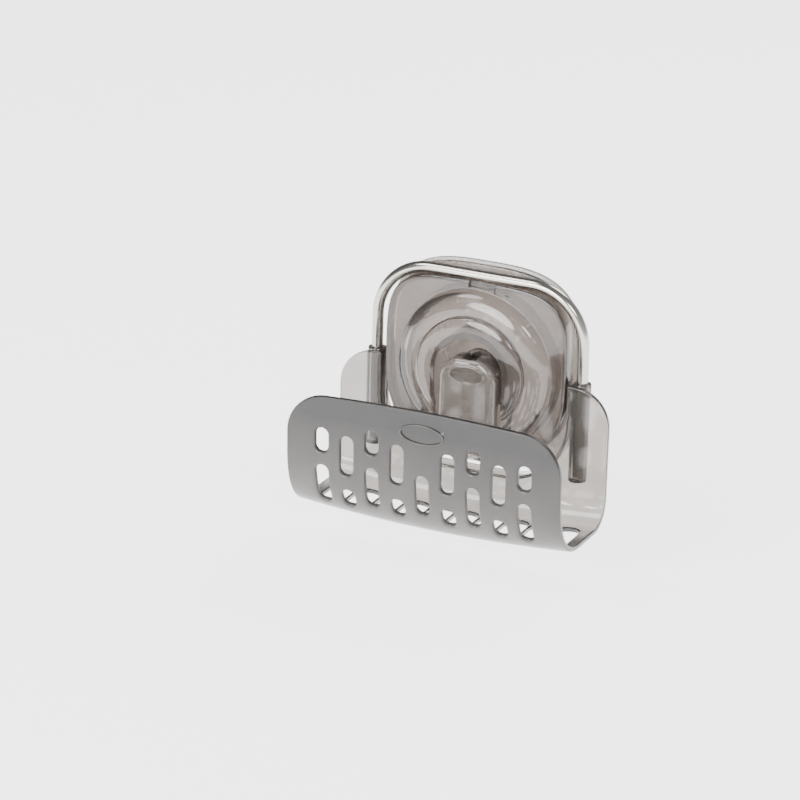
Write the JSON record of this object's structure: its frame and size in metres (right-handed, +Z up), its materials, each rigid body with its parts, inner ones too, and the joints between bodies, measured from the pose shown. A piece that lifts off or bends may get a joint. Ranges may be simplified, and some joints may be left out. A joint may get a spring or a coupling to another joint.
{
  "type": "suction sink caddy",
  "caption": "Rounded-square lever-lock suction base with a bent wire hanger that carries a slotted open-ended trough for a dish brush.",
  "frame": {"origin": "centre of the suction pad, on the plane of the sink wall that it grips", "axes": "+Z up along the wall, +Y into the wall, -Y out towards the trough's front, +X along the wall to the right as seen from the front"},
  "size_m": [0.1228, 0.0638, 0.1053],
  "materials": {
    "clear_soft_plastic": "clear soft PVC, glossy",
    "smoke_clear_plastic": "smoke-tinted clear plastic, glossy",
    "frosted_smoke_plastic": "smoke-tinted translucent plastic, lightly frosted",
    "dark_acetal": "dark brown-grey acetal, satin",
    "polished_stainless_steel": "polished stainless steel"
  },
  "bodies": {
    "suction_base": {"suction_pad": "clear_soft_plastic", "back_plate": "smoke_clear_plastic", "front_cover": "smoke_clear_plastic", "cam_washer": "dark_acetal"},
    "post": {"pad_post": "dark_acetal"},
    "lever": {"lever": "smoke_clear_plastic", "lever_pin": "polished_stainless_steel"},
    "caddy": {"wire_hanger": "polished_stainless_steel", "tray": "frosted_smoke_plastic"}
  },
  "joints": [
    {"name": "post_slide", "type": "slide", "parent": "suction_base", "child": "post", "axis": [0, 1, 0], "range_m": [0, 0.0015], "deforming": ["suction_pad"]},
    {"name": "lever_hinge", "type": "hinge", "parent": "post", "child": "lever", "pos_m": [0, -0.015, 0], "axis": [-1, 0, 0], "range_deg": [0, 90]},
    {"name": "caddy_lift_off", "type": "slide", "parent": "suction_base", "child": "caddy", "axis": [0, -0.9397, 0.342], "range_m": [0, 0.08]}
  ],
  "couplings": [
    {"joint": "post_slide", "follows": "lever_hinge", "m_per_rad": 0.00095493}
  ]
}
